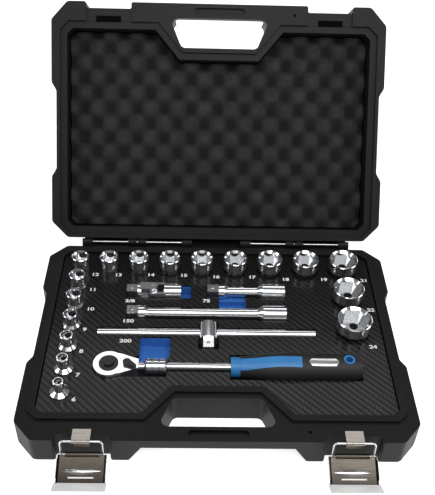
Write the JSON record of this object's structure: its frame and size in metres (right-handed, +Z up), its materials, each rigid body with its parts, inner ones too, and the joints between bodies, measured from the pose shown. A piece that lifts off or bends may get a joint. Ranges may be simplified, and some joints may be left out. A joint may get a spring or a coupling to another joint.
{
  "type": "socket wrench set in case",
  "caption": "Open plastic tool case with toggle latches and foam-lined lid, holding hex sockets, extensions, a sliding T-bar, a universal joint and a ratchet in a fitted tray.",
  "frame": {"origin": "middle of the case's underside", "axes": "+X to the right of the person opening it, +Y towards the hinges, +Z up"},
  "size_m": [0.336, 0.441, 0.2276],
  "materials": {
    "case_plastic": "moulded, fine grain",
    "lid_foam": "open-cell egg-crate foam",
    "tray_foam": "closed-cell foam",
    "tray_sheet": "twill-look film",
    "pin_steel": "drawn",
    "latch_steel": "pressed sheet",
    "latch_wire": "bright wire",
    "chrome": "polished",
    "ball_steel": "polished",
    "black_metal": "blackened",
    "grip_blue": "smooth",
    "grip_black": "soft touch",
    "plate_metal": "bare"
  },
  "bodies": {
    "base": {"base_shell": "case_plastic", "tray_foam": "tray_foam", "tray_sheet": "tray_sheet", "hinge_pin_left": "pin_steel", "hinge_pin_right": "pin_steel", "latch_strap_left": "latch_steel", "latch_strap_right": "latch_steel"},
    "lid": {"lid_shell": "case_plastic", "lid_foam": "lid_foam"},
    "latch_wire_left": {"latch_wire_left": "latch_wire"},
    "latch_lever_left": {"latch_lever_left": "latch_steel"},
    "latch_wire_right": {"latch_wire_right": "latch_wire"},
    "latch_lever_right": {"latch_lever_right": "latch_steel"},
    "socket_06": {"socket_06": "chrome"},
    "socket_07": {"socket_07": "chrome"},
    "socket_08": {"socket_08": "chrome"},
    "socket_09": {"socket_09": "chrome"},
    "socket_10": {"socket_10": "chrome"},
    "socket_11": {"socket_11": "chrome"},
    "socket_12": {"socket_12": "chrome"},
    "socket_13": {"socket_13": "chrome"},
    "socket_14": {"socket_14": "chrome"},
    "socket_15": {"socket_15": "chrome"},
    "socket_16": {"socket_16": "chrome"},
    "socket_17": {"socket_17": "chrome"},
    "socket_18": {"socket_18": "chrome"},
    "socket_19": {"socket_19": "chrome"},
    "socket_21": {"socket_21": "chrome"},
    "socket_22": {"socket_22": "chrome"},
    "socket_24": {"socket_24": "chrome"},
    "short_extension": {"short_extension": "chrome", "short_extension_ball": "ball_steel"},
    "long_extension": {"long_extension": "chrome", "long_extension_ball": "ball_steel"},
    "tbar": {"tbar_rod": "chrome", "tbar_slider": "chrome", "tbar_ball": "ball_steel"},
    "joint_drive": {"joint_drive_fork": "chrome", "joint_block": "chrome", "joint_upright_pin": "pin_steel", "joint_side_pins": "pin_steel", "joint_ball": "ball_steel"},
    "joint_socket": {"joint_socket_fork": "chrome"},
    "ratchet": {"ratchet_body": "chrome", "ratchet_cover": "black_metal", "grip_core": "grip_blue", "grip_sleeve": "grip_black", "grip_plate": "plate_metal", "grip_eyelet": "grip_blue"},
    "ratchet_drive": {"ratchet_drive": "chrome"},
    "ratchet_button": {"ratchet_button": "black_metal"},
    "ratchet_selector": {"ratchet_selector": "black_metal"},
    "ratchet_ball": {"ratchet_ball": "ball_steel"}
  },
  "joints": [
    {"name": "lid_hinge", "type": "hinge", "parent": "base", "child": "lid", "pos_m": [0, 0.1222, 0.0307], "axis": [-1, 0, 0], "range_deg": [-125.5, 0]},
    {"name": "latch_wire_left_swing", "type": "hinge", "parent": "base", "child": "latch_wire_left", "pos_m": [-0.111, -0.118, 0.02692], "axis": [-1, 0, 0], "range_deg": [0, 110]},
    {"name": "latch_lever_left_close", "type": "hinge", "parent": "latch_wire_left", "child": "latch_lever_left", "pos_m": [-0.111, -0.11939, 0.01098], "axis": [1, 0, 0], "range_deg": [-112, 0]},
    {"name": "latch_wire_right_swing", "type": "hinge", "parent": "base", "child": "latch_wire_right", "pos_m": [0.111, -0.118, 0.02692], "axis": [-1, 0, 0], "range_deg": [0, 110]},
    {"name": "latch_lever_right_close", "type": "hinge", "parent": "latch_wire_right", "child": "latch_lever_right", "pos_m": [0.111, -0.11939, 0.01098], "axis": [1, 0, 0], "range_deg": [-112, 0]},
    {"name": "socket_06_lift", "type": "slide", "parent": "base", "child": "socket_06", "axis": [0, 0, 1], "range_m": [0, 0.04]},
    {"name": "socket_07_lift", "type": "slide", "parent": "base", "child": "socket_07", "axis": [0, 0, 1], "range_m": [0, 0.04]},
    {"name": "socket_08_lift", "type": "slide", "parent": "base", "child": "socket_08", "axis": [0, 0, 1], "range_m": [0, 0.04]},
    {"name": "socket_09_lift", "type": "slide", "parent": "base", "child": "socket_09", "axis": [0, 0, 1], "range_m": [0, 0.04]},
    {"name": "socket_10_lift", "type": "slide", "parent": "base", "child": "socket_10", "axis": [0, 0, 1], "range_m": [0, 0.04]},
    {"name": "socket_11_lift", "type": "slide", "parent": "base", "child": "socket_11", "axis": [0, 0, 1], "range_m": [0, 0.04]},
    {"name": "socket_12_lift", "type": "slide", "parent": "base", "child": "socket_12", "axis": [0, 0, 1], "range_m": [0, 0.04]},
    {"name": "socket_13_lift", "type": "slide", "parent": "base", "child": "socket_13", "axis": [0, 0, 1], "range_m": [0, 0.04]},
    {"name": "socket_14_lift", "type": "slide", "parent": "base", "child": "socket_14", "axis": [0, 0, 1], "range_m": [0, 0.04]},
    {"name": "socket_15_lift", "type": "slide", "parent": "base", "child": "socket_15", "axis": [0, 0, 1], "range_m": [0, 0.04]},
    {"name": "socket_16_lift", "type": "slide", "parent": "base", "child": "socket_16", "axis": [0, 0, 1], "range_m": [0, 0.04]},
    {"name": "socket_17_lift", "type": "slide", "parent": "base", "child": "socket_17", "axis": [0, 0, 1], "range_m": [0, 0.04]},
    {"name": "socket_18_lift", "type": "slide", "parent": "base", "child": "socket_18", "axis": [0, 0, 1], "range_m": [0, 0.04]},
    {"name": "socket_19_lift", "type": "slide", "parent": "base", "child": "socket_19", "axis": [0, 0, 1], "range_m": [0, 0.04]},
    {"name": "socket_21_lift", "type": "slide", "parent": "base", "child": "socket_21", "axis": [0, 0, 1], "range_m": [0, 0.04]},
    {"name": "socket_22_lift", "type": "slide", "parent": "base", "child": "socket_22", "axis": [0, 0, 1], "range_m": [0, 0.04]},
    {"name": "socket_24_lift", "type": "slide", "parent": "base", "child": "socket_24", "axis": [0, 0, 1], "range_m": [0, 0.04]},
    {"name": "short_extension_lift", "type": "slide", "parent": "base", "child": "short_extension", "axis": [0, 0, 1], "range_m": [0, 0.04]},
    {"name": "long_extension_lift", "type": "slide", "parent": "base", "child": "long_extension", "axis": [0, 0, 1], "range_m": [0, 0.04]},
    {"name": "tbar_lift", "type": "slide", "parent": "base", "child": "tbar", "axis": [0, 0, 1], "range_m": [0, 0.04]},
    {"name": "joint_drive_lift", "type": "slide", "parent": "base", "child": "joint_drive", "axis": [0, 0, 1], "range_m": [0, 0.04]},
    {"name": "joint_flex", "type": "hinge", "parent": "joint_drive", "child": "joint_socket", "pos_m": [-0.0615, 0.053, 0.028], "axis": [0, -1, 0], "range_deg": [0, 45]},
    {"name": "ratchet_lift", "type": "slide", "parent": "base", "child": "ratchet", "axis": [0, 0, 1], "range_m": [0, 0.04]},
    {"name": "ratchet_turn", "type": "hinge", "parent": "ratchet", "child": "ratchet_drive", "pos_m": [-0.0955, -0.0405, 0.028], "axis": [0, 0, 1], "continuous": true},
    {"name": "ratchet_select", "type": "hinge", "parent": "ratchet", "child": "ratchet_selector", "pos_m": [-0.0795, -0.0405, 0.032], "axis": [0, 0, 1], "range_deg": [0, 62]},
    {"name": "ratchet_release", "type": "slide", "parent": "ratchet_drive", "child": "ratchet_button", "axis": [0, 0, -1], "range_m": [0, 0.0016]},
    {"name": "ratchet_ball_draw", "type": "slide", "parent": "ratchet_drive", "child": "ratchet_ball", "axis": [-1, 0, 0], "range_m": [0, 0.0006]}
  ],
  "couplings": [
    {"joint": "ratchet_ball_draw", "follows": "ratchet_release", "ratio": 0.375}
  ]
}
